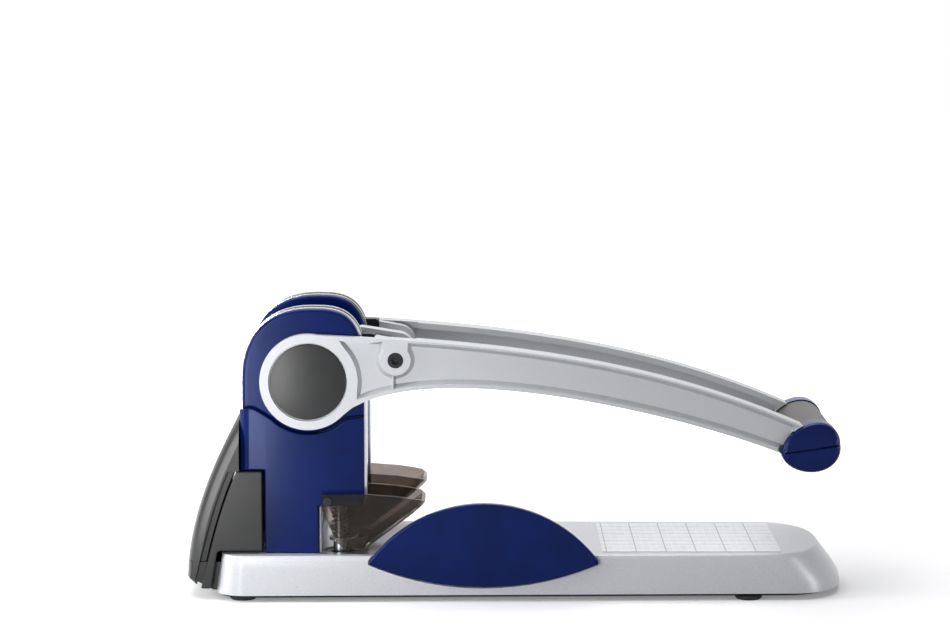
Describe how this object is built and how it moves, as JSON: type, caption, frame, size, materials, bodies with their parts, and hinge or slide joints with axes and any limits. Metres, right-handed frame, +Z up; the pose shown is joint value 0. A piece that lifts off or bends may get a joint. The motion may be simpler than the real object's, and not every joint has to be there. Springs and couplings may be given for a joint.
{
  "type": "hole punch",
  "caption": "Heavy-duty hole punch: long cast lever with a crossbar handle swings over punching heads on a flat base with a lens-shaped side guide.",
  "frame": {"origin": "on the table under the middle of the machine's box", "axes": "+X towards the user and the handle, +Y to the user's right, +Z up"},
  "size_m": [0.442, 0.13, 0.1956],
  "materials": {
    "silver_paint": "satin silver paint",
    "cast_aluminium": "satin painted casting",
    "steel": "bright machined steel",
    "black_steel": "black oxide",
    "dark_die_steel": "hardened steel",
    "bronze": "sintered bronze",
    "blue_plastic": "satin moulded ABS",
    "black_plastic": "fine-grained moulded ABS",
    "smoke_plastic": "smoke-tinted polycarbonate",
    "rubber": "matt black",
    "grip_rubber": "warm dark grey",
    "label": "printed film"
  },
  "bodies": {
    "base": {"base_shell": "silver_paint", "bottom_plate": "black_steel", "rubber_feet": "rubber", "bottom_screws": "steel", "die_plate": "steel", "die_buttons": "dark_die_steel", "back_stop": "silver_paint", "label_plate": "label", "head_frame_left": "steel", "head_frame_right": "steel", "head_strap_left": "silver_paint", "head_strap_right": "silver_paint", "upper_shell_left_outer": "blue_plastic", "upper_shell_left_inner": "blue_plastic", "upper_shell_right_outer": "blue_plastic", "upper_shell_right_inner": "blue_plastic", "lower_cover_left_outer": "blue_plastic", "lower_cover_left_inner": "blue_plastic", "lower_cover_right_outer": "blue_plastic", "lower_cover_right_inner": "blue_plastic", "ram_barrel_left": "steel", "ram_barrel_right": "steel", "axle_bushes": "bronze", "guard_pins": "black_steel", "rear_cover": "black_plastic", "side_panel_left": "black_plastic", "side_panel_right": "black_plastic", "guide_channel": "black_plastic"},
    "lever": {"arm_left": "cast_aluminium", "arm_right": "cast_aluminium", "hub_cap_left": "black_plastic", "hub_cap_right": "black_plastic", "axle": "steel", "drive_sector_left": "black_steel", "drive_sector_right": "black_steel", "bridge": "cast_aluminium", "bridge_screws": "black_steel", "handle_tube": "silver_paint", "handle_grip": "grip_rubber", "handle_rod": "steel", "end_cap_left_upper": "blue_plastic", "end_cap_left_lower": "blue_plastic", "end_cap_right_upper": "blue_plastic", "end_cap_right_lower": "blue_plastic"},
    "punch_left": {"ram_left": "steel", "punch_pin_left": "steel", "spring_left": "steel"},
    "punch_right": {"ram_right": "steel", "punch_pin_right": "steel", "spring_right": "steel"},
    "foot_left": {"presser_left": "steel"},
    "foot_right": {"presser_right": "steel"},
    "guard_left_body": {"guard_left": "smoke_plastic"},
    "guard_right_body": {"guard_right": "smoke_plastic"},
    "side_guide": {"guide_plate": "blue_plastic", "guide_tongue": "steel"},
    "tray": {"chip_tray": "black_plastic"}
  },
  "joints": [
    {"name": "lever_hinge", "type": "hinge", "parent": "base", "child": "lever", "pos_m": [-0.1387, 0, 0.147], "axis": [0, -1, 0], "range_deg": [0, 96]},
    {"name": "punch_slide_left", "type": "slide", "parent": "base", "child": "punch_left", "axis": [0, 0, 1], "range_m": [0, 0.0339]},
    {"name": "punch_slide_right", "type": "slide", "parent": "base", "child": "punch_right", "axis": [0, 0, 1], "range_m": [0, 0.0339]},
    {"name": "presser_slide_left", "type": "slide", "parent": "punch_left", "child": "foot_left", "axis": [0, 0, 1], "range_m": [0, 0.03], "stiffness_N_per_m": 150, "springref_m": -0.02, "deforming": ["spring_left"]},
    {"name": "presser_slide_right", "type": "slide", "parent": "punch_right", "child": "foot_right", "axis": [0, 0, 1], "range_m": [0, 0.03], "stiffness_N_per_m": 150, "springref_m": -0.02, "deforming": ["spring_right"]},
    {"name": "guard_hinge_left", "type": "hinge", "parent": "base", "child": "guard_left_body", "pos_m": [-0.1262, -0.04, 0.0675], "axis": [0, -1, 0], "range_deg": [0, 60]},
    {"name": "guard_hinge_right", "type": "hinge", "parent": "base", "child": "guard_right_body", "pos_m": [-0.1262, 0.04, 0.0675], "axis": [0, -1, 0], "range_deg": [0, 60]},
    {"name": "side_guide_slide", "type": "slide", "parent": "base", "child": "side_guide", "axis": [0, -1, 0], "range_m": [0, 0.09]},
    {"name": "tray_slide", "type": "slide", "parent": "base", "child": "tray", "axis": [-1, 0, 0], "range_m": [0, 0.1]}
  ],
  "couplings": [
    {"joint": "punch_slide_left", "follows": "lever_hinge", "m_per_rad": 0.02},
    {"joint": "punch_slide_right", "follows": "lever_hinge", "m_per_rad": 0.02}
  ]
}
